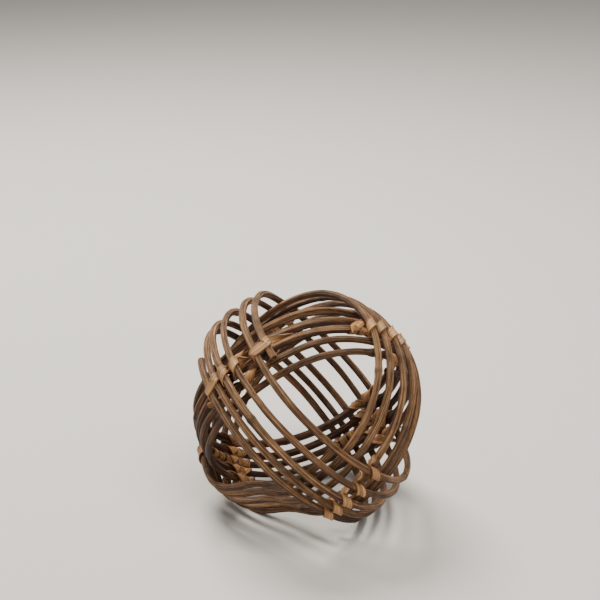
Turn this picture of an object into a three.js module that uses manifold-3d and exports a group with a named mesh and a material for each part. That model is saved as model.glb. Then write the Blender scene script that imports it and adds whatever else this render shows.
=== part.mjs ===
// An open, see-through ball of cane: three coils wound square to each other, tied with flat peel
// where they cross. Millimetres, +Z up. The ball lies on three of its canes at z = 0, and the
// origin is on the table under its centre.
import * as THREE from "three";
import { mergeVertices } from "three/addons/utils/BufferGeometryUtils.js";
import Module from "manifold-3d";

const wasm = await Module();
wasm.setup();

// Driving dimensions
const CANE_DIAMETER = 3.7;
const CANE_SIDES = 6;
const STEPS_PER_TURN = 36;
const CENTRE_HEIGHT = 54.4; // ball's centre above the table
const PEEL_THICKNESS = 0.6;
const PEEL_WIDTH = 3.3; // real peel is about 5 wide, but so wide a strip cuts into itself at its twists
const CLEARANCE = 0.5; // left between the peel and the canes it goes round
const PEEL_SLANT = 3; // how far to each side of the inner cane the peel crosses an outer cane
const BOX_REACH = 200; // a block larger than the ball, for the cut at the table

// How a peel strip bends, in degrees round the cane it goes over or under
const UNDER_ENTRY = 270; // side of the inner cane where the strip dives under it
const UNDER_MIDDLE = 180;
const UNDER_EXIT = 90;
const UNDER_STEP = 30;
const OVER_REACH = 96; // how far down each side of an outer cane the strip wraps
const OVER_STEP = 32;

const NUDGE = 0.01; // turns, a short way along a cane that shows which way it runs
const CROSSING_ROUNDS = 6;
const WELD = 1e-4; // points closer than this are one point
const CANE_ROUGHNESS = 0.7;
const PEEL_ROUGHNESS = 0.6;

const CANE_COLOUR = 0x8c6d50;
const INNER_CANE_COLOUR = 0x6b4a32;
const PEEL_COLOUR = 0xba9263;

// One cane wound into a band. Its axis is a direction (degrees round from +X, degrees up), and
// its turns are counted from the axis of the coil named by `from`. `heights` is where each turn
// starts and the last one ends, measured along the axis from the ball's centre. The band is
// `fan` wider at `fanAt` degrees than at its mean, and leans by `lean`. The cane lies at
// `radiusAtStart` where it crosses the first of its neighbours, at `radiusAtQuarter` where it
// crosses the other, and bows outwards by `bow` in between. `pushes` are stretches that were pushed
// out of shape, each about `width` degrees to both sides of `at` degrees: outwards by `outwards`,
// and along the axis by `firstTurnAlong` at the first turn to `lastTurnAlong` at the last.
const COILS = {
  inner_coil: {
    axis: [-66.6, -26.1],
    from: "outer_coil",
    heights: [-16, -7, -1.2, 5.5, 12, 20],
    lean: 5.3,
    fan: 0.08,
    fanAt: 45,
    radiusAtStart: 55,
    radiusAtQuarter: 55,
    bow: 2,
    pushes: [],
    firstTurn: -0.05,
    lastTurn: 5.01,
    colour: INNER_CANE_COLOUR,
  },
  middle_coil: {
    axis: [-141.6, 40.0],
    from: "inner_coil",
    heights: [-18.5, -12.5, -3.5, 6.5, 13.5, 19],
    lean: 0,
    fan: 0.15,
    fanAt: 60,
    radiusAtStart: 59.1,
    radiusAtQuarter: 60.1,
    bow: 0.5,
    pushes: [
      { at: 318, width: 20, outwards: -7, firstTurnAlong: 0, lastTurnAlong: 0 },
      { at: 285, width: 16, outwards: 2, firstTurnAlong: 0, lastTurnAlong: 0 },
    ],
    firstTurn: -0.05,
    lastTurn: 5.05,
    colour: CANE_COLOUR,
  },
  outer_coil: {
    axis: [-4.8, 47.0],
    from: "middle_coil",
    heights: [-14.6, -9.1, -3.4, 4.5, 16.8, 23],
    lean: 3.1,
    fan: 0,
    fanAt: 25,
    radiusAtStart: 60.1,
    radiusAtQuarter: 63.6,
    bow: 1,
    pushes: [{ at: 310, width: 30, outwards: 0, firstTurnAlong: 2, lastTurnAlong: 3.3 }],
    firstTurn: -0.06,
    lastTurn: 5.03,
    colour: CANE_COLOUR,
  },
};

// Where two bands cross, one peel strip ties them: it runs along the inner cane that starts
// `along` turns in, and over the outer canes in groups, each group given by the turns in it.
const LASHINGS = {
  lashing_front_left: {
    over: "outer_coil",
    under: "inner_coil",
    groups: [[0.0, 1.0], [2.0], [3.0], [4.0, 5.0]],
    along: 2.25,
  },
  lashing_back_right: {
    over: "outer_coil",
    under: "inner_coil",
    groups: [[0.5], [1.5], [2.5], [3.5], [4.5]],
    along: 2.75,
  },
  lashing_top_right: {
    over: "middle_coil",
    under: "inner_coil",
    groups: [[0.25], [1.25], [2.25], [3.25], [4.25]],
    along: 2.0,
  },
  lashing_low_left: {
    over: "middle_coil",
    under: "inner_coil",
    groups: [[0.75], [1.75], [2.75], [3.75], [4.75]],
    along: 2.5,
  },
  lashing_front_right: {
    over: "outer_coil",
    under: "middle_coil",
    groups: [[0.25], [1.25], [2.25], [3.25], [4.25]],
    along: 2.0,
  },
  lashing_back_left: {
    over: "outer_coil",
    under: "middle_coil",
    groups: [[0.75], [1.75], [2.75], [3.75], [4.75]],
    along: 2.5,
  },
};

function direction([round, up]) {
  const turned = THREE.MathUtils.degToRad(round);
  const raised = THREE.MathUtils.degToRad(up);
  const level = Math.cos(raised);
  return new THREE.Vector3(level * Math.cos(turned), level * Math.sin(turned), Math.sin(raised));
}

// The centreline of one coil, in turns.
class CoilCurve extends THREE.Curve {
  constructor(coil) {
    super();
    this.coil = coil;
    this.axis = direction(coil.axis);
    const neighbour = direction(COILS[coil.from].axis);
    this.side = neighbour.addScaledVector(this.axis, -neighbour.dot(this.axis)).normalize();
    this.ahead = this.axis.clone().cross(this.side);
  }

  at(turn) {
    const { heights, fan, fanAt, lean, radiusAtStart, radiusAtQuarter, bow, pushes } = this.coil;
    const angle = 2 * Math.PI * turn;
    const whole = THREE.MathUtils.clamp(Math.floor(turn), 0, heights.length - 2);
    const level = THREE.MathUtils.lerp(heights[whole], heights[whole + 1], turn - whole);
    const sway = Math.cos(angle - THREE.MathUtils.degToRad(fanAt));
    let height = level * (1 + fan * sway) + lean * (sway - 1);
    let radius =
      (radiusAtStart + radiusAtQuarter) / 2 +
      ((radiusAtStart - radiusAtQuarter) / 2) * Math.cos(2 * angle) +
      (bow / 2) * (1 - Math.cos(4 * angle));
    const across = (level - heights[0]) / (heights[heights.length - 1] - heights[0]);
    for (const { at, width, outwards, firstTurnAlong, lastTurnAlong } of pushes) {
      const off = THREE.MathUtils.euclideanModulo(360 * turn - at + 180, 360) - 180;
      const share = Math.exp(-((off / width) ** 2));
      height += share * THREE.MathUtils.lerp(firstTurnAlong, lastTurnAlong, across);
      radius += share * outwards;
    }
    const reach = Math.sqrt(radius * radius - height * height);
    return new THREE.Vector3()
      .addScaledVector(this.axis, height)
      .addScaledVector(this.side, reach * Math.cos(angle))
      .addScaledVector(this.ahead, reach * Math.sin(angle));
  }

  getPoint(share) {
    const { firstTurn, lastTurn } = this.coil;
    return this.at(THREE.MathUtils.lerp(firstTurn, lastTurn, share));
  }

  // The place nearest `turn` where the coil passes the given direction from the ball's centre.
  turnFacing(point, turn) {
    const angle = Math.atan2(point.dot(this.ahead), point.dot(this.side)) / (2 * Math.PI);
    return angle + Math.round(turn - angle);
  }
}

// The run of a peel strip: places with the way its outer face looks at each.
class StripCurve extends THREE.Curve {
  constructor(places) {
    super();
    this.places = places;
  }

  getPoint(share) {
    const run = share * (this.places.length - 1);
    const whole = Math.min(Math.floor(run), this.places.length - 2);
    return this.places[whole].at.clone().lerp(this.places[whole + 1].at, run - whole);
  }

  getSpacedPoints() {
    return this.places.map((place) => place.at);
  }

  computeFrenetFrames() {
    const last = this.places.length - 1;
    const tangents = this.places.map((place, i) =>
      this.places[Math.min(i + 1, last)].at
        .clone()
        .sub(this.places[Math.max(i - 1, 0)].at)
        .normalize(),
    );
    const binormals = this.places.map((place, i) =>
      tangents[i].clone().cross(place.facing).normalize(),
    );
    const normals = binormals.map((binormal, i) => binormal.clone().cross(tangents[i]));
    return { tangents, normals, binormals };
  }
}

const curves = Object.fromEntries(
  Object.entries(COILS).map(([name, coil]) => [name, new CoilCurve(coil)]),
);

function solidOf(geometry) {
  const bare = geometry.clone();
  bare.deleteAttribute("normal");
  bare.deleteAttribute("uv");
  const merged = mergeVertices(bare, WELD);
  return new wasm.Manifold(
    new wasm.Mesh({
      numProp: 3,
      vertProperties: merged.attributes.position.array,
      triVerts: new Uint32Array(merged.index.array),
    }),
  );
}

function geometryOf(solid) {
  const mesh = solid.getMesh();
  const geometry = new THREE.BufferGeometry();
  geometry.setAttribute("position", new THREE.BufferAttribute(mesh.vertProperties, 3));
  geometry.setIndex(new THREE.BufferAttribute(mesh.triVerts, 1));
  geometry.computeVertexNormals();
  return geometry;
}

// A coil is one round cane, cut flat where it lies on the table.
function coilGeometry(name) {
  const { firstTurn, lastTurn } = COILS[name];
  const outline = [];
  for (let i = 0; i < CANE_SIDES; i++) {
    const angle = (2 * Math.PI * i) / CANE_SIDES;
    const corner = new THREE.Vector2(Math.cos(angle), Math.sin(angle));
    outline.push(corner.multiplyScalar(CANE_DIAMETER / 2));
  }
  const cane = new THREE.ExtrudeGeometry(new THREE.Shape(outline), {
    steps: Math.round((lastTurn - firstTurn) * STEPS_PER_TURN),
    extrudePath: curves[name],
  });
  cane.translate(0, 0, CENTRE_HEIGHT);
  const table = new THREE.BoxGeometry(BOX_REACH, BOX_REACH, BOX_REACH);
  table.translate(0, 0, -BOX_REACH / 2);
  return geometryOf(solidOf(cane).subtract(solidOf(table)));
}

// The turns at which an outer and an inner cane cross, found by walking from one to the other.
function crossing(outer, inner, outerTurn, innerTurn) {
  let over = outerTurn;
  let under = innerTurn;
  for (let i = 0; i < CROSSING_ROUNDS; i++) {
    under = inner.turnFacing(outer.at(over), innerTurn);
    over = outer.turnFacing(inner.at(under), outerTurn);
  }
  return { over, under };
}

// Where a peel strip lies when it goes round a cane: `angle` is 0 over the top, away from the
// ball's centre, and 90 on the side that `ahead` points to.
function placeRound(curve, turn, ahead, angle) {
  const centre = curve.at(turn);
  const up = centre.clone().normalize();
  const along = curve.at(turn + NUDGE).sub(curve.at(turn - NUDGE)).normalize();
  const side = along.cross(up);
  side.multiplyScalar(Math.sign(side.dot(ahead)));
  const turned = THREE.MathUtils.degToRad(angle);
  const facing = up.multiplyScalar(Math.cos(turned)).addScaledVector(side, Math.sin(turned));
  const reach = CANE_DIAMETER / 2 + CLEARANCE + PEEL_THICKNESS / 2;
  return { at: centre.addScaledVector(facing, reach), facing };
}

// A strip starts under the inner cane, comes up beside the first outer cane, goes slanting over
// it, down on the far side, under the inner cane, and on to the next outer cane.
function stripPlaces({ over, under, groups, along }) {
  const outer = curves[over];
  const inner = curves[under];
  const knots = groups.map((turns) => turns.map((turn) => crossing(outer, inner, turn, along)));
  const ends = knots.map((knot) => [knot[0].under, knot[knot.length - 1].under]);
  const gaps = [];
  for (let i = 1; i < ends.length; i++) {
    gaps.push((ends[i - 1][1] + ends[i][0]) / 2);
  }
  gaps.unshift(2 * ends[0][0] - gaps[0]);
  gaps.push(2 * ends[ends.length - 1][1] - gaps[gaps.length - 1]);
  const ahead = inner.at(gaps[gaps.length - 1]).sub(inner.at(gaps[0])).normalize();
  const across = ahead.clone().cross(inner.at(gaps[1])).normalize();
  const slant = PEEL_SLANT / (2 * Math.PI * outer.coil.radiusAtStart);
  const first = groups[0][0];
  const wayOver = Math.sign(outer.at(first + NUDGE).sub(outer.at(first)).dot(across));

  const places = [];
  gaps.forEach((gap, i) => {
    const from = i === 0 ? UNDER_MIDDLE : UNDER_ENTRY;
    const to = i === knots.length ? UNDER_MIDDLE : UNDER_EXIT;
    for (let angle = from; angle >= to; angle -= UNDER_STEP) {
      places.push(placeRound(inner, gap, across, angle));
    }
    if (i === knots.length) return;
    for (let angle = -OVER_REACH; angle <= OVER_REACH; angle += OVER_STEP) {
      const knot = angle < 0 ? knots[i][0] : knots[i][knots[i].length - 1];
      const sideways = -slant * wayOver * Math.sin(THREE.MathUtils.degToRad(angle));
      places.push(placeRound(outer, knot.over + sideways, ahead, angle));
    }
  });
  return places;
}

function lashingGeometry(name) {
  const places = stripPlaces(LASHINGS[name]);
  const [x, y] = [PEEL_THICKNESS / 2, PEEL_WIDTH / 2];
  const outline = new THREE.Shape([
    new THREE.Vector2(-x, -y),
    new THREE.Vector2(x, -y),
    new THREE.Vector2(x, y),
    new THREE.Vector2(-x, y),
  ]);
  const strip = new THREE.ExtrudeGeometry(outline, {
    steps: places.length - 1,
    extrudePath: new StripCurve(places),
  });
  strip.translate(0, 0, CENTRE_HEIGHT);
  return strip;
}

function addPiece(name, geometry, color, roughness) {
  const piece = new THREE.Mesh(
    geometry,
    new THREE.MeshStandardMaterial({ color, roughness, metalness: 0 }),
  );
  piece.name = name;
  ball.add(piece);
}

const ball = new THREE.Group();
for (const name of Object.keys(COILS)) {
  addPiece(name, coilGeometry(name), COILS[name].colour, CANE_ROUGHNESS);
}
for (const name of Object.keys(LASHINGS)) {
  addPiece(name, lashingGeometry(name), PEEL_COLOUR, PEEL_ROUGHNESS);
}

export default ball;
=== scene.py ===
import math
import random

import bpy
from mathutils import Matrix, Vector, noise


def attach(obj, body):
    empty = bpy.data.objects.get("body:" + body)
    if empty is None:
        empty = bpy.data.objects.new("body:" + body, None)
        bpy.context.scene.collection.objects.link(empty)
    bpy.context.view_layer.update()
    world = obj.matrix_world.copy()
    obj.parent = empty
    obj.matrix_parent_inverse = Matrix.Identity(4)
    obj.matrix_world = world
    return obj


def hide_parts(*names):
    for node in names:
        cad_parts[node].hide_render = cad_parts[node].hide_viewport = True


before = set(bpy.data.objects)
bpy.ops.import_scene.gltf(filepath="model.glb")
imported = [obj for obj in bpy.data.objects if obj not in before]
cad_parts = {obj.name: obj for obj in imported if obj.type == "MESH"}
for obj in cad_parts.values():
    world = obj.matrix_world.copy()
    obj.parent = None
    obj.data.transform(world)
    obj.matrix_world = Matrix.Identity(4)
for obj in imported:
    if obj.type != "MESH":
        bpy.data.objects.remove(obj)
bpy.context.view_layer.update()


# ---- Inner coil ------------------------------------------------------------------------------
# The first cane, wound wet into a flat band of five turns. It is the innermost of the three, so
# it gets little sun and keeps a deep brown under its dust. Its cut ends are left square, with the
# soft pith dried out.
MM = 0.001
TURNS = 5
BALL_CENTRE = Vector((0, 0, 54.4)) * MM
CANE_RADIUS = 1.85 * MM
STEPS_PER_TURN = 280
CANE_SIDES = 26
CANE_OVAL = 1.035
GROOVES = (0, 0.02, 0.05, 0.10, 0.13)  # shares of the radius that the outline is pressed in by
SLOW_WAVES, FAST_WAVES = 7.3, 19.1  # the wander of a hand-bent cane, in waves per turn
SLOW_WANDER, FAST_WANDER = (0.7, 0.6), (0.16, 0.12)  # millimetres along the axis and outwards
WANDER_SEED = 5
noise.seed_set(WANDER_SEED)  # without it the clock sets the seed, and each run wanders anew


def pointing(turned, raised):
    """The direction `turned` degrees round from +X and `raised` degrees up."""
    turned, raised = math.radians(turned), math.radians(raised)
    level = math.cos(raised)
    return Vector((level * math.cos(turned), level * math.sin(turned), math.sin(raised)))


def bulge(off, spread):
    """A soft hump: 1 at its middle, and about a third of that `spread` to either side."""
    return math.exp(-(off / spread) ** 2)


class Coil:
    """The way one cane is wound, in turns counted from where it meets its neighbour's axis.

    `heights` is where each turn lies along the coil's axis, in millimetres. `lean` and `fan` tip
    the turns and spread them towards the angle `fan_at`. `radii` are those at the start and a
    quarter turn on, and `bow` is added between them. A push bends the cane about `width` degrees
    to both sides of `at`, outwards, and along the axis from the first turn to the last. `hand`
    picks the cane's own wander.
    """

    def __init__(self, axis, neighbour, heights, lean, fan, fan_at, radii, bow, turns, hand,
                 pushes=()):
        self.axis = pointing(*axis)
        beside = pointing(*neighbour)
        self.side = (beside - self.axis * beside.dot(self.axis)).normalized()
        self.ahead = self.axis.cross(self.side)
        self.heights, self.lean, self.fan, self.fan_at = heights, lean, fan, math.radians(fan_at)
        self.radii, self.bow, self.turns, self.hand = radii, bow, turns, hand
        self.pushes = pushes

    def place(self, turn):
        """Centre of the cane, from the ball's centre, with the small wander of a hand-bent cane."""
        angle = 2 * math.pi * turn
        whole = min(max(math.floor(turn), 0), len(self.heights) - 2)
        low, high = self.heights[whole], self.heights[whole + 1]
        level = low + (high - low) * (turn - whole)
        sway = math.cos(angle - self.fan_at)
        height = level * (1 + self.fan * sway) + self.lean * (sway - 1)
        first, quarter = self.radii
        radius = (first + quarter) / 2 + (first - quarter) / 2 * math.cos(2 * angle)
        radius += self.bow / 2 * (1 - math.cos(4 * angle))
        across = (level - self.heights[0]) / (self.heights[-1] - self.heights[0])
        for at, width, outwards, first_along, last_along in self.pushes:
            off = (360 * turn - at + 180) % 360 - 180
            share = bulge(off, width)
            height += share * (first_along + (last_along - first_along) * across)
            radius += share * outwards
        free = math.sin(2 * angle) ** 2
        slow = noise.noise_vector(Vector((turn * SLOW_WAVES, self.hand, 0.5)))
        fast = noise.noise_vector(Vector((turn * FAST_WAVES, self.hand, 4.5)))
        height += slow.x * SLOW_WANDER[0] * free + fast.x * FAST_WANDER[0]
        radius += slow.y * SLOW_WANDER[1] * free + fast.y * FAST_WANDER[1]
        reach = math.sqrt(radius * radius - height * height)
        return (self.axis * height + self.side * (reach * math.cos(angle))
                + self.ahead * (reach * math.sin(angle))) * MM

    def turn_facing(self, point, turn):
        """Where the coil passes nearest to a point's direction, on the turn nearest to `turn`."""
        angle = math.atan2(point.dot(self.ahead), point.dot(self.side)) / (2 * math.pi)
        return angle + round(turn - angle)


def pick(thing):
    """Leaves only this object selected, and active."""
    bpy.ops.object.select_all(action="DESELECT")
    thing.select_set(True)
    bpy.context.view_layer.objects.active = thing


def note(mesh, name, kind, field, values):
    """Keeps a value for each point of the mesh, for its finish to read."""
    mesh.attributes.new(name, kind, "POINT").data.foreach_set(field, values)


def cane_section(name, dice):
    """The outline of a cane: a circle pressed in along its grooves, and a little oval."""
    bpy.ops.object.select_all(action="DESELECT")
    bpy.ops.mesh.primitive_circle_add(vertices=CANE_SIDES, radius=CANE_RADIUS, fill_type="NOTHING")
    section = bpy.context.active_object
    section.name = name
    for vertex in section.data.vertices:
        vertex.co *= 1 - dice.choice(GROOVES)
        vertex.co.x *= CANE_OVAL
    bpy.ops.object.convert(target="CURVE")
    return bpy.context.active_object


LONG_SWELL, SHORT_SWELL = (0.014, 0.10), (0.075, 0.05)  # waves per millimetre, share of the radius
THINNING = 9  # how fast the stout half gives way to the other, per turn
JOINT_SPREAD, JOINT_LIP, JOINT_RING = 2.6, 0.9, 1.3  # millimetres along the cane
LIP_SHARE = 0.7  # how much of the joint's swelling its sharp lip adds
TWIST_PER_MM, TWIST_WAVES = 0.004, 0.01  # its steady twist, and the waves of its uneven one
CUT_END = ((0.10, 0.08), (0.45, -0.05), (0.12, -0.9), (0.15, -1.2))  # steps from rim to pith
CANE_SMOOTHING = math.radians(50)


def wind_cane(name, coil, joints, stout, seed):
    """Sweeps the cane's outline along the coil, then cuts its ends and its worn feet. The first
    half of the cane is thicker by the share `stout`, and each joint has its own swelling."""
    dice = random.Random(seed)
    section = cane_section(name + "_section", dice)
    first, last = coil.turns
    steps = round((last - first) * STEPS_PER_TURN)
    turns = [first + (last - first) * i / steps for i in range(steps + 1)]
    places = [coil.place(turn) + BALL_CENTRE for turn in turns]
    run = [0.0]
    for before, after in zip(places, places[1:]):
        run.append(run[-1] + (after - before).length / MM)

    path = bpy.data.curves.new(name, "CURVE")
    path.dimensions = "3D"
    spline = path.splines.new("POLY")
    spline.points.add(len(places) - 1)
    rings = []
    for i, place in enumerate(places):
        thick = noise.noise(Vector((run[i] * LONG_SWELL[0], seed, 0))) * LONG_SWELL[1]
        thick += noise.noise(Vector((run[i] * SHORT_SWELL[0], seed, 9))) * SHORT_SWELL[1]
        thick += stout / (1 + math.exp((turns[i] - TURNS / 2) * THINNING))
        ring = 0.0
        for joint, swelling in joints:
            off = (turns[i] - joint) * run[-1] / (last - first)
            ring = max(ring, bulge(off, JOINT_RING))
            thick += swelling * bulge(off, JOINT_SPREAD)
            thick += swelling * LIP_SHARE * bulge(off, JOINT_LIP)
        rings.append(ring)
        spline.points[i].co = (*place, 1)
        spline.points[i].radius = 1 + thick
        sway = noise.noise(Vector((run[i] * TWIST_WAVES, seed, 3)))
        spline.points[i].tilt = run[i] * TWIST_PER_MM + sway
    path.bevel_mode = "OBJECT"
    path.bevel_object = section
    cane = bpy.data.objects.new(name, path)
    bpy.context.collection.objects.link(cane)
    pick(cane)
    bpy.ops.object.convert(target="MESH")
    cane = bpy.context.active_object
    bpy.data.objects.remove(section)

    # where each point lay on the straight cane, in millimetres, for the grain to follow
    mesh = cane.data
    radius = CANE_RADIUS / MM
    straight, swollen = [], []
    for i in range(len(mesh.vertices)):
        ring, side = divmod(i, CANE_SIDES)
        angle = 2 * math.pi * side / CANE_SIDES
        straight += (radius * math.cos(angle), radius * math.sin(angle), run[ring])
        swollen.append(rings[ring])
    note(mesh, "unbent", "FLOAT_VECTOR", "vector", straight)
    note(mesh, "joint", "FLOAT", "value", swollen)

    # both ends are closed, then sunk in the middle, where the pith has dried out
    bpy.ops.object.mode_set(mode="EDIT")
    bpy.ops.mesh.select_all(action="SELECT")
    bpy.ops.mesh.fill_holes(sides=0)
    bpy.ops.mesh.select_all(action="SELECT")
    bpy.ops.mesh.normals_make_consistent(inside=False)
    bpy.ops.object.mode_set(mode="OBJECT")
    for part in (mesh.vertices, mesh.edges):
        part.foreach_set("select", [False] * len(part))
    for face in mesh.polygons:
        face.select = len(face.vertices) > 4
    bpy.ops.object.mode_set(mode="EDIT")
    bpy.ops.mesh.select_mode(type="FACE")
    for inwards, outwards in CUT_END:
        bpy.ops.mesh.inset(thickness=inwards * MM, depth=outwards * MM)
    bpy.ops.mesh.select_mode(type="VERT")
    bpy.ops.object.mode_set(mode="OBJECT")

    # what would be below the table is worn flat
    for part in (mesh.polygons, mesh.edges):
        part.foreach_set("select", [False] * len(part))
    for vertex in mesh.vertices:
        vertex.select = vertex.co.z < 0
    bpy.ops.object.mode_set(mode="EDIT")
    bpy.ops.transform.resize(value=(1, 1, 0), center_override=(0, 0, 0))
    bpy.ops.object.mode_set(mode="OBJECT")
    bpy.ops.object.shade_smooth_by_angle(angle=CANE_SMOOTHING)
    return cane


# painted shade in the furrows of the grain
FURROW_PAINTED_SHADE = (0.24, 0.15, 0.10, 1)
PORE_SHADE = (0.34, 0.27, 0.22, 1)
# painted shade on what faces down or into the ball
PAINTED_SHADE_TINT = (0.36, 0.21, 0.12, 1)
JOINT_SHADE = (0.32, 0.22, 0.15, 1)
CANE_DUST = (0.46, 0.290, 0.155, 1)
RIDGE_HIGHLIGHT = 1.9  # how much paler than the pale fibres the painted highlights on the ridges are


def put(tree, kind, inputs=(), **settings):
    """Adds a node, sets it, and gives each input a value or the socket that feeds it."""
    node = tree.nodes.new(kind)
    for name, value in settings.items():
        setattr(node, name, value)
    for name, value in dict(inputs).items():
        if isinstance(value, bpy.types.NodeSocket):
            tree.links.new(value, node.inputs[name])
        else:
            node.inputs[name].default_value = value
    return node


def maths(tree, operation, *values, clamp=False):
    """One step of reckoning on values, or on the sockets that give them."""
    return put(tree, "ShaderNodeMath", dict(enumerate(values)), operation=operation,
               use_clamp=clamp).outputs[0]


def blend(tree, how, share, under, over):
    """Lays the colour `over` on the colour `under`, by the given share."""
    node = put(tree, "ShaderNodeMix", {0: share, 6: under, 7: over}, data_type="RGBA",
               blend_type=how)
    return node.outputs[2]


def brighten(tree, colour, share):
    """The colour, made paler or darker all through."""
    return put(tree, "ShaderNodeVectorMath", {0: colour, 3: share}, operation="SCALE").outputs[0]


def stretch(tree, value, low, high, to_low=0.0, to_high=1.0):
    """Turns the range from `low` to `high` softly into the range that is wanted."""
    return put(tree, "ShaderNodeMapRange", {0: value, 1: low, 2: high, 3: to_low, 4: to_high},
               interpolation_type="SMOOTHSTEP").outputs[0]


def speckle(tree, place, along, scale, detail, rough, shift=0.0):
    """Noise on the straight cane's own millimetres, drawn out along its length."""
    moved = put(tree, "ShaderNodeMapping", {"Vector": place, "Location": (shift, shift, shift),
                                            "Scale": (1, 1, along)})
    return put(tree, "ShaderNodeTexNoise", {"Vector": moved.outputs[0], "Scale": scale,
                                            "Detail": detail, "Roughness": rough}).outputs[0]


def effect(name, inputs, outputs):
    """An empty effect with named inputs and outputs, and its two end nodes."""
    tree = bpy.data.node_groups.new(name, "ShaderNodeTree")
    for label, kind in inputs:
        tree.interface.new_socket(label, in_out="INPUT", socket_type="NodeSocket" + kind)
    for label, kind in outputs:
        tree.interface.new_socket(label, in_out="OUTPUT", socket_type="NodeSocket" + kind)
    return tree, tree.nodes.new("NodeGroupInput").outputs, tree.nodes.new("NodeGroupOutput")


def fibre_grain():
    """Lengthwise fibres and pores, as on any cane or peel."""
    tree, given, out = effect(
        "Fibre grain",
        [("Place", "Vector"), ("Pale", "Color"), ("Dark", "Color"), ("Pores", "Float")],
        [("Colour", "Color"), ("Height", "Float"), ("Streaks", "Float")])
    place = given["Place"]
    streaks = speckle(tree, place, along=0.022, scale=1.05, detail=5, rough=0.66)
    fine = speckle(tree, place, along=0.05, scale=3.4, detail=3, rough=0.6, shift=7.0)
    slow = speckle(tree, place, along=1.0, scale=0.045, detail=2, rough=0.5, shift=3.0)
    pores = speckle(tree, place, along=0.16, scale=5.5, detail=2, rough=0.5, shift=11.0)
    lines = speckle(tree, place, along=0.010, scale=1.9, detail=3, rough=0.7, shift=17.0)

    mixed = maths(tree, "MULTIPLY_ADD", streaks, 0.62, maths(tree, "MULTIPLY", fine, 0.38))
    share = stretch(tree, mixed, 0.43, 0.58)
    colour = blend(tree, "MIX", share, given["Dark"], given["Pale"])

    # pale ridge lines: a painted highlight on the ridges
    ridge_highlights = stretch(tree, lines, 0.54, 0.64, 0, 0.6)
    # dark furrow lines: painted shade in the furrows
    furrow_painted_shade = stretch(tree, lines, 0.34, 0.46, 1, 0)
    colour = blend(tree, "MIX", ridge_highlights, colour, brighten(tree, given["Pale"], RIDGE_HIGHLIGHT))
    colour = blend(tree, "MULTIPLY", maths(tree, "MULTIPLY", furrow_painted_shade, 0.85), colour, FURROW_PAINTED_SHADE)
    shaded = brighten(tree, colour, stretch(tree, slow, 0.3, 0.7, 0.62, 1.2))

    pitted = maths(tree, "MULTIPLY", stretch(tree, pores, 0.60, 0.70), given["Pores"])
    holes = blend(tree, "MULTIPLY", pitted, shaded, PORE_SHADE)
    height = maths(tree, "SUBTRACT", mixed, maths(tree, "MULTIPLY", pitted, 0.35))
    height = maths(tree, "ADD", height, stretch(tree, lines, 0.34, 0.64, 0, 0.5))
    tree.links.new(holes, out.inputs["Colour"])
    tree.links.new(height, out.inputs["Height"])
    tree.links.new(mixed, out.inputs["Streaks"])
    return tree


def age_stains():
    """Old red-brown stretches, where the skin's varnish is left, with their own shine."""
    tree, given, out = effect(
        "Age stains",
        [("Place", "Vector"), ("Colour", "Color"), ("Stain", "Color"), ("Amount", "Float")],
        [("Colour", "Color"), ("Shine", "Float")])
    patches = speckle(tree, given["Place"], along=0.12, scale=0.16, detail=4, rough=0.6,
                      shift=21.0)
    edge = maths(tree, "SUBTRACT", 0.78, maths(tree, "MULTIPLY", given["Amount"], 0.4))
    over = maths(tree, "MULTIPLY", maths(tree, "SUBTRACT", patches, edge), 9.0, clamp=True)
    stained = blend(tree, "MIX", maths(tree, "MULTIPLY", over, 0.8), given["Colour"],
                    given["Stain"])
    tree.links.new(stained, out.inputs["Colour"])
    tree.links.new(over, out.inputs["Shine"])
    return tree


def dust_and_painted_shade():
    """Pale dust on what looks up, and painted shade on what looks down or into the ball."""
    tree, given, out = effect(
        "Dust and painted shade",
        [("Colour", "Color"), ("Dust", "Color"), ("Amount", "Float"), ("Grime", "Float")],
        [("Colour", "Color"), ("Dusty", "Float")])
    geometry = tree.nodes.new("ShaderNodeNewGeometry")
    place = tree.nodes.new("ShaderNodeTexCoord").outputs["Object"]
    up = put(tree, "ShaderNodeSeparateXYZ", {0: geometry.outputs["Normal"]}).outputs[2]
    cloud = put(tree, "ShaderNodeTexNoise", {"Vector": place, "Scale": 160.0, "Detail": 4.0})
    thick = stretch(tree, cloud.outputs[0], 0.3, 0.68)
    dusty = maths(tree, "MULTIPLY", stretch(tree, up, -0.1, 0.95), thick)
    dusty = maths(tree, "MULTIPLY", dusty, given["Amount"])

    from_centre = put(tree, "ShaderNodeVectorMath", {0: place, 1: BALL_CENTRE},
                      operation="SUBTRACT").outputs[0]
    away = put(tree, "ShaderNodeVectorMath", {0: from_centre}, operation="NORMALIZE").outputs[0]
    facing = put(tree, "ShaderNodeVectorMath", {0: away, 1: geometry.outputs["Normal"]},
                 operation="DOT_PRODUCT").outputs["Value"]
    # darker on what faces into the ball or down: painted shade
    inward = maths(tree, "MULTIPLY", stretch(tree, facing, 0.25, -0.85), given["Grime"])
    under = maths(tree, "MULTIPLY", stretch(tree, up, 0.35, -0.75), given["Grime"])
    shaded = maths(tree, "MAXIMUM", inward, under)
    with_painted_shade = blend(tree, "MULTIPLY", shaded, given["Colour"], PAINTED_SHADE_TINT)
    tree.links.new(blend(tree, "MIX", dusty, with_painted_shade, given["Dust"]), out.inputs["Colour"])
    tree.links.new(dusty, out.inputs["Dusty"])
    return tree


FIBRE_GRAIN, AGE_STAINS, DUST_AND_PAINTED_SHADE = fibre_grain(), age_stains(), dust_and_painted_shade()


def use(tree, group, **inputs):
    """Places an effect in a finish, and gives back its outputs."""
    node = tree.nodes.new("ShaderNodeGroup")
    node.node_tree = group
    for name, value in inputs.items():
        socket = node.inputs[name]
        if isinstance(value, bpy.types.NodeSocket):
            tree.links.new(value, socket)
        else:
            socket.default_value = value
    return node.outputs


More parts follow.
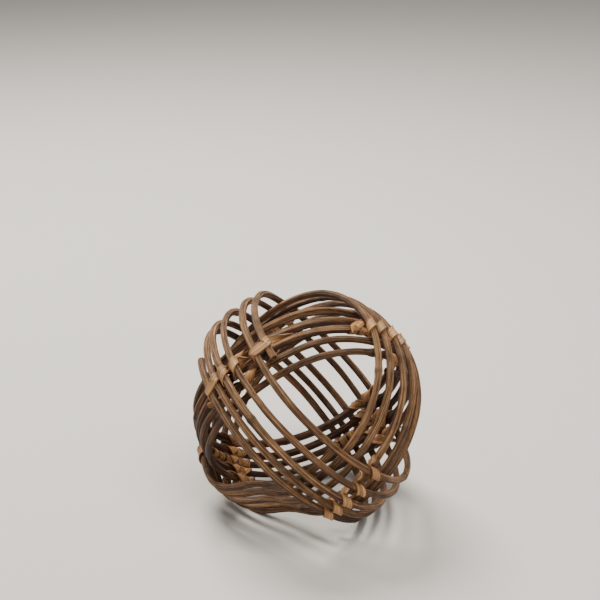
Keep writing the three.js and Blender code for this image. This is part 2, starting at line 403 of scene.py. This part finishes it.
def cane_finish(name, pale, dark, stain, stained, dust, painted_shade):
    """Weathered cane: fibres, old stains, dark rings at the joints, dust and painted shade."""
    finish = bpy.data.materials.new(name)
    finish.use_nodes = True
    tree = finish.node_tree
    shader = tree.nodes["Principled BSDF"]
    place = put(tree, "ShaderNodeAttribute", attribute_name="unbent").outputs["Vector"]
    ring = put(tree, "ShaderNodeAttribute", attribute_name="joint").outputs["Fac"]
    grain = use(tree, FIBRE_GRAIN, Place=place, Pale=pale, Dark=dark, Pores=0.85)
    stains = use(tree, AGE_STAINS, Place=place, Colour=grain["Colour"], Stain=stain, Amount=stained)
    ringed = blend(tree, "MULTIPLY", maths(tree, "MULTIPLY", ring, 0.7), stains["Colour"],
                   JOINT_SHADE)
    # dust, and painted shade on what faces down or into the ball
    dusty = use(tree, DUST_AND_PAINTED_SHADE, Colour=ringed, Dust=CANE_DUST, Amount=dust, Grime=painted_shade)
    tree.links.new(dusty["Colour"], shader.inputs["Base Color"])

    rough = maths(tree, "MULTIPLY_ADD", grain["Streaks"], -0.22, 0.72)
    rough = maths(tree, "SUBTRACT", rough, maths(tree, "MULTIPLY", stains["Shine"], 0.22))
    rough = maths(tree, "ADD", rough, maths(tree, "MULTIPLY", dusty["Dusty"], 0.3), clamp=True)
    tree.links.new(rough, shader.inputs["Roughness"])

    lift = maths(tree, "ADD", grain["Height"], maths(tree, "MULTIPLY", ring, 0.5))
    bump = put(tree, "ShaderNodeBump", {"Height": lift, "Strength": 1.0, "Distance": 0.0009})
    tree.links.new(bump.outputs[0], shader.inputs["Normal"])
    shader.inputs["Specular IOR Level"].default_value = 0.42
    return finish


INNER_AXIS = (-66.6, -26.1)  # each axis in degrees round from +X and degrees up
MIDDLE_AXIS = (-141.6, 40.0)
OUTER_AXIS = (-4.8, 47.0)

inner_coil = Coil(
    axis=INNER_AXIS, neighbour=OUTER_AXIS, heights=(-16, -7, -1.2, 5.5, 12, 20), lean=5.3,
    fan=0.08, fan_at=45, radii=(55, 55), bow=2, turns=(-0.05, 5.01), hand=3)
inner_cane = wind_cane(
    "inner_cane", inner_coil,
    joints=((0.62, 0.1), (1.37, 0.1), (2.31, 0.08), (3.18, 0.1), (4.036, 0.24), (4.71, 0.1)),
    stout=0.17, seed=11)
inner_cane.data.materials.append(cane_finish(
    "deep_brown_cane", pale=(0.300, 0.145, 0.055, 1), dark=(0.046, 0.016, 0.005, 1),
    stain=(0.075, 0.023, 0.006, 1), stained=0.58, dust=0.30, painted_shade=0.95))
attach(inner_cane, "root")
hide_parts("inner_coil")


# ---- Middle coil -----------------------------------------------------------------------------
# The second cane, wound square over the first. It is the same stock, but half out in the light,
# so it has gone a dry grey brown, with a glossy red-brown stretch where its skin is still whole.
middle_coil = Coil(
    axis=MIDDLE_AXIS, neighbour=INNER_AXIS, heights=(-18.5, -12.5, -3.5, 6.5, 13.5, 19), lean=0,
    fan=0.15, fan_at=60, radii=(59.1, 60.1), bow=0.5, turns=(-0.05, 5.05), hand=17,
    pushes=((318, 20, -7, 0, 0), (285, 16, 2, 0, 0)))
middle_cane = wind_cane(
    "middle_cane", middle_coil,
    joints=((0.41, 0.1), (1.12, 0.1), (1.93, 0.08), (2.66, 0.1), (3.39, 0.1), (4.17, 0.12)),
    stout=0.04, seed=23)
middle_cane.data.materials.append(cane_finish(
    "grey_brown_cane", pale=(0.400, 0.208, 0.088, 1), dark=(0.066, 0.025, 0.007, 1),
    stain=(0.105, 0.034, 0.009, 1), stained=0.55, dust=0.26, painted_shade=0.8))
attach(middle_cane, "root")
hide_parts("middle_coil")


# ---- Outer coil ------------------------------------------------------------------------------
# The last cane, wound square over both. Its two cut ends stand a little proud at the front left,
# and it is the most weathered of the three, with its grooves open and its skin mostly gone.
outer_coil = Coil(
    axis=OUTER_AXIS, neighbour=MIDDLE_AXIS, heights=(-14.6, -9.1, -3.4, 4.5, 16.8, 23), lean=3.1,
    fan=0, fan_at=25, radii=(60.1, 63.6), bow=1, turns=(-0.06, 5.042), hand=31,
    pushes=((310, 30, 0, 2, 3.3),))
outer_cane = wind_cane(
    "outer_cane", outer_coil,
    joints=((0.33, 0.1), (1.21, 0.1), (2.09, 0.13), (2.84, 0.1), (3.55, 0.1), (4.36, 0.1)),
    stout=0.05, seed=37)
outer_cane.data.materials.append(cane_finish(
    "weathered_cane", pale=(0.420, 0.220, 0.094, 1), dark=(0.070, 0.027, 0.008, 1),
    stain=(0.115, 0.038, 0.010, 1), stained=0.52, dust=0.28, painted_shade=0.8))
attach(outer_cane, "root")
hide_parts("outer_coil")


# ---- Lashings --------------------------------------------------------------------------------
# Six strips of flat peel, the split skin of the same plant, one at each crossing of two bands.
# A strip is worked wet: over an outer cane, down, under the inner cane, and on to the next one.
PEEL_THICKNESS = 0.55  # these are in millimetres
PEEL_GAP = 0.12
PEEL_CROWN, PEEL_SINK = 0.16, 0.10  # its middle stands up by the first, less the second
PEEL_WIDTHS = (4.5, 5.3)  # under one cane, and over the next
WOVEN_WIDTHS = (4.2, 5.4)
WRAP_WIDTH = 4.6
PEEL_SLANT = 3.4
RAGGED_EDGE, RAGGED_WAVES = 0.10, 0.11  # share of the width, and waves per millimetre
PEEL_COLUMNS = 8
STEPS_PER_BEND = 4
PEEL_SMOOTHING = math.radians(40)
GRAIN_SHIFT = 3.1  # how far apart two strips lie in the grain they are cut from
CROSSING_ROUNDS = 6
SHORT_WAY = 0.01  # turns, enough to tell which way a cane runs
FULLNESS = 1.03  # leaves room where a cane is thicker than it should be

# how far round a cane the strip goes, in degrees from the cane's top
UNDER_ENTRY, UNDER_MIDDLE, UNDER_EXIT, UNDER_STEP = 270, 180, 90, 30
OVER_REACH, OVER_STEP = 140, 28
SLANT_RATE = 0.64  # the slant is whole where the strip leaves the cane
BRIDGE_FAR, BRIDGE_NEAR, BRIDGE_STEP = 160, 20, 28
STEPS_PER_ROUND = 12


def crossing(outer, inner, outer_turn, inner_turn):
    """The turns at which two canes cross, found from near both by going to and fro."""
    over, under = outer_turn, inner_turn
    for _ in range(CROSSING_ROUNDS):
        under = inner.turn_facing(outer.place(over), inner_turn)
        over = outer.turn_facing(inner.place(under), outer_turn)
    return over, under


def beside_cane(coil, turn, ahead, angle, way):
    """Where the peel lies round a cane: 0 is over the top, 90 on the side `ahead` points to.
    The top looks out of the ball where `way` is 1, and into it where it is -1."""
    centre = coil.place(turn)
    up = centre.normalized() * way
    along = (coil.place(turn + SHORT_WAY) - coil.place(turn - SHORT_WAY)).normalized()
    side = along.cross(up)
    side *= math.copysign(1, side.dot(ahead))
    turned = math.radians(angle)
    facing = up * math.cos(turned) + side * math.sin(turned)
    reach = CANE_RADIUS * FULLNESS + (PEEL_GAP + PEEL_THICKNESS) * MM
    return centre + facing * reach, facing


def lay_strip(outer, inner, groups, along, slant, widths, way=1):
    """The strip's run, as places with the way its outer face looks and its width there.

    It follows the inner cane at the turn `along`, and ties the outer turns of each group in one
    go, `slant` millimetres to each side of the inner cane.
    """
    knots = [[crossing(outer, inner, turn, along) for turn in turns] for turns in groups]
    ends = [(knot[0][1], knot[-1][1]) for knot in knots]
    gaps = [(before[1] + after[0]) / 2 for before, after in zip(ends, ends[1:])]
    gaps = [2 * ends[0][0] - gaps[0], *gaps, 2 * ends[-1][1] - gaps[-1]]
    ahead = (inner.place(gaps[-1]) - inner.place(gaps[0])).normalized()
    across = ahead.cross(inner.place(gaps[1])).normalized()
    sideways = slant / (2 * math.pi * outer.radii[0])
    start = groups[0][0]
    way_over = (outer.place(start + SHORT_WAY) - outer.place(start)).dot(across)
    way_over = math.copysign(1, way_over)
    run = []
    for i, gap in enumerate(gaps):
        entry = UNDER_MIDDLE if i == 0 else UNDER_ENTRY
        leave = UNDER_MIDDLE if i == len(knots) else UNDER_EXIT
        for angle in range(entry, leave - 1, -UNDER_STEP):
            run.append((*beside_cane(inner, gap, across, angle, way), widths[0]))
        if i == len(knots):
            break
        for angle in range(-OVER_REACH, OVER_REACH + 1, OVER_STEP):
            knot = knots[i][0] if angle < 0 else knots[i][-1]
            shift = -sideways * way_over * math.sin(math.radians(angle * SLANT_RATE))
            place, facing = beside_cane(outer, knot[0] + shift, ahead, angle, way)
            run.append((place, facing, widths[1]))
    return run


def smooth_run(run):
    """Fills in a flowing line between the places."""
    filled = []
    for i in range(len(run) - 1):
        four = [run[min(max(i + k, 0), len(run) - 1)] for k in (-1, 0, 1, 2)]
        for step in range(STEPS_PER_BEND):
            t = step / STEPS_PER_BEND
            shares = (-t / 2 + t * t - t ** 3 / 2, 1 - 2.5 * t * t + 1.5 * t ** 3,
                      t / 2 + 2 * t * t - 1.5 * t ** 3, (t ** 3 - t * t) / 2)
            place, facing, width = Vector(), Vector(), 0
            for share, knot in zip(shares, four):
                place += knot[0] * share
                facing += knot[1] * share
                width += knot[2] * share
            filled.append((place, facing.normalized(), width))
    return [*filled, run[-1]]


def peel_strip(name, run, seed):
    """Lays a flat strip along its run, gives it its thickness, and notes its grain."""
    run = smooth_run(run)
    rows = len(run) - 1
    bpy.ops.object.select_all(action="DESELECT")
    bpy.ops.mesh.primitive_grid_add(x_subdivisions=PEEL_COLUMNS, y_subdivisions=rows, size=1)
    strip = bpy.context.active_object
    strip.name = name
    mesh = strip.data
    straight, edges = [], []
    length = [0.0]
    for before, after in zip(run, run[1:]):
        length.append(length[-1] + (after[0] - before[0]).length / MM)
    for vertex in mesh.vertices:
        share = vertex.co.x * 2
        row = round((vertex.co.y + 0.5) * rows)
        place, facing, width = run[row]
        ahead = (run[min(row + 1, rows)][0] - run[max(row - 1, 0)][0]).normalized()
        across = ahead.cross(facing).normalized()
        facing = across.cross(ahead)
        ragged = noise.noise(Vector((length[row] * RAGGED_WAVES, seed, share)))
        half = width / 2 * (1 + RAGGED_EDGE * ragged)
        crown = PEEL_CROWN * (1 - share * share) - PEEL_SINK
        vertex.co = place + BALL_CENTRE + (across * (half * share) + facing * crown) * MM
        straight += (half * share, seed * GRAIN_SHIFT, length[row])
        edges.append(abs(share))
    note(mesh, "unbent", "FLOAT_VECTOR", "vector", straight)
    note(mesh, "edge", "FLOAT", "value", edges)
    pick(strip)
    thick = strip.modifiers.new("thickness", "SOLIDIFY")
    thick.thickness = PEEL_THICKNESS * MM
    thick.offset = -1
    bpy.ops.object.modifier_apply(modifier=thick.name)
    bpy.ops.object.mode_set(mode="EDIT")
    bpy.ops.mesh.select_all(action="SELECT")
    bpy.ops.mesh.normals_make_consistent(inside=False)
    bpy.ops.object.mode_set(mode="OBJECT")
    bpy.ops.object.shade_smooth_by_angle(angle=PEEL_SMOOTHING)
    return strip


RIM_SHADE = (0.50, 0.36, 0.24, 1)
PEEL_STAIN = (0.165, 0.062, 0.018, 1)
PEEL_DUST = (0.60, 0.40, 0.22, 1)


def peel_finish(name, pale, dark):
    """Tan peel: close parallel fibres, darker at its cut edges, with a dull skin shine."""
    finish = bpy.data.materials.new(name)
    finish.use_nodes = True
    tree = finish.node_tree
    shader = tree.nodes["Principled BSDF"]
    place = put(tree, "ShaderNodeAttribute", attribute_name="unbent").outputs["Vector"]
    edge = put(tree, "ShaderNodeAttribute", attribute_name="edge").outputs["Fac"]
    grain = use(tree, FIBRE_GRAIN, Place=place, Pale=pale, Dark=dark, Pores=0.35)
    stains = use(tree, AGE_STAINS, Place=place, Colour=grain["Colour"], Stain=PEEL_STAIN,
                 Amount=0.5)
    rim = blend(tree, "MULTIPLY", stretch(tree, edge, 0.72, 1.0, 0, 0.75), stains["Colour"],
                RIM_SHADE)
    # dust, and painted shade on what faces down or into the ball
    dusty = use(tree, DUST_AND_PAINTED_SHADE, Colour=rim, Dust=PEEL_DUST, Amount=0.2, Grime=0.3)
    tree.links.new(dusty["Colour"], shader.inputs["Base Color"])

    rough = maths(tree, "MULTIPLY_ADD", grain["Streaks"], -0.2, 0.62)
    tree.links.new(maths(tree, "ADD", rough, maths(tree, "MULTIPLY", dusty["Dusty"], 0.3)),
                   shader.inputs["Roughness"])

    bump = put(tree, "ShaderNodeBump", {"Height": grain["Height"], "Strength": 0.7,
                                        "Distance": 0.0002})
    tree.links.new(bump.outputs[0], shader.inputs["Normal"])
    return finish


def carry_on(strip, run):
    """Takes the strip further along another run, as part of the same piece. The strip's size so
    far, in centimetres, gives each stretch its own grain."""
    more = peel_strip(strip.name + "_more", run, strip.dimensions.x * 100)
    pick(strip)
    more.select_set(True)
    bpy.ops.object.join()


def weave_back(strip, outer, quarter, columns):
    """Takes the strip back over the inner canes, on the inside of the ball, once for each
    column: the turn of the outer cane that it follows, and its slant. It crosses each inner turn
    at the share `quarter` of it."""
    groups = [(whole + quarter,) for whole in range(TURNS)]
    for along, slant in columns:
        carry_on(strip, lay_strip(inner_coil, outer, groups, along, slant, WOVEN_WIDTHS, -1))


def wind_round(strip, first, last, rounds):
    """Winds the strip slantwise round one inner cane, from turn `first` to turn `last`."""
    steps = rounds * STEPS_PER_ROUND
    run = []
    for i in range(steps + 1):
        turn = first + (last - first) * i / steps
        angle = UNDER_MIDDLE + 360 * rounds * i / steps
        run.append((*beside_cane(inner_coil, turn, inner_coil.axis, angle, 1), WRAP_WIDTH))
    carry_on(strip, run)


def bridge(strip, low, high):
    """Takes the strip slantwise over two inner canes at once."""
    ahead = (inner_coil.place(high) - inner_coil.place(low)).normalized()
    run = []
    for turn, first, last in ((low, -BRIDGE_FAR, -BRIDGE_NEAR), (high, BRIDGE_NEAR, BRIDGE_FAR)):
        for angle in range(first, last + 1, BRIDGE_STEP):
            run.append((*beside_cane(inner_coil, turn, ahead, angle, 1), WRAP_WIDTH))
    carry_on(strip, run)


tan_peel = peel_finish(
    "tan_peel", pale=(0.58, 0.315, 0.115, 1), dark=(0.30, 0.130, 0.040, 1))

# each crossing's outer and inner coil, the outer turns that are tied in one go, and the inner turn
# that the strip runs along
for name, outer, inner, groups, along, seed in (
    ("front_left", outer_coil, inner_coil, ((0, 1), (2,), (3,), (4, 5)), 2.25, 1),
    ("back_right", outer_coil, inner_coil, ((0.5,), (1.5,), (2.5,), (3.5,), (4.5,)), 2.75, 2),
    ("top_right", middle_coil, inner_coil, ((0.25,), (1.25,), (2.25,), (3.25,), (4.25,)), 2.0, 3),
    ("low_left", middle_coil, inner_coil, ((0.75,), (1.75,), (2.75,), (3.75,), (4.75,)), 2.5, 4),
    ("front_right", outer_coil, middle_coil, ((0.25,), (1.25,), (2.25,), (3.25,), (4.25,)), 2.0, 5),
    ("back_left", outer_coil, middle_coil, ((0.75,), (1.75,), (2.75,), (3.75,), (4.75,)), 2.5, 6),
):
    run = lay_strip(outer, inner, groups, along, PEEL_SLANT, PEEL_WIDTHS)
    strip = peel_strip(name + "_peel", run, seed)
    if name == "front_left":
        wind_round(strip, first=1.205, last=1.305, rounds=2)
        wind_round(strip, first=3.20, last=3.30, rounds=2)
    elif name == "top_right":
        bridge(strip, low=2.058, high=1.022)
        wind_round(strip, first=4.01, last=3.93, rounds=2)
    elif name == "low_left":
        weave_back(strip, outer, quarter=0.5, columns=((0.75, 6), (1.75, -6)))
    elif name == "back_right":
        weave_back(strip, outer, quarter=0.75, columns=((4.5, 5), (3.5, -5)))
    strip.data.materials.append(tan_peel)
    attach(strip, "root")
    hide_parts("lashing_" + name)


# ---- Floor, light and camera -----------------------------------------------------------------
# A plain pale floor, a broad soft light from above and behind on the left, a large weak one in
# front, and a camera a little above the ball, looking down at it.
bpy.ops.object.select_all(action="DESELECT")
bpy.ops.mesh.primitive_plane_add(size=12)
floor = bpy.context.active_object
floor.name = "floor"
pale_floor = bpy.data.materials.new("pale_floor")
pale_floor.use_nodes = True
surface = pale_floor.node_tree.nodes["Principled BSDF"].inputs
surface["Base Color"].default_value = (0.72, 0.71, 0.69, 1)
surface["Roughness"].default_value = 0.85
floor.data.materials.append(pale_floor)

LAMP_COLOUR = (1.0, 0.94, 0.85)
for name, place, size, power in (
    ("window", (-0.35, 0.70, 1.15), 0.6, 26),
    ("ceiling", (0.30, -0.55, 1.4), 0.9, 17),
    ("front", (0.9, -1.2, 0.5), 1.0, 4),
):
    bpy.ops.object.light_add(type="AREA", location=place)
    lamp = bpy.context.active_object
    lamp.name = name
    lamp.data.shape = "DISK"
    lamp.data.size = size
    lamp.data.energy = power
    lamp.data.color = LAMP_COLOUR
    lamp.rotation_euler = (BALL_CENTRE - Vector(place)).to_track_quat("-Z", "Y").to_euler()
room = bpy.data.worlds.new("room")
room.use_nodes = True
background = room.node_tree.nodes["Background"].inputs
background["Color"].default_value = (1.0, 0.97, 0.93, 1)
background["Strength"].default_value = 0.26
bpy.context.scene.world = room

CAMERA_DISTANCE = 0.785
CAMERA_ABOVE = 23.5
AIM_ABOVE, AIM_LEFT = 4.08, 0.23  # degrees that it looks past the ball's centre
bpy.ops.object.camera_add(location=BALL_CENTRE + pointing(-90, CAMERA_ABOVE) * CAMERA_DISTANCE)
camera = bpy.context.active_object
camera.data.lens = 89.8
camera.rotation_euler = (
    math.radians(90 - CAMERA_ABOVE + AIM_ABOVE), 0, math.radians(AIM_LEFT))
bpy.context.scene.camera = camera
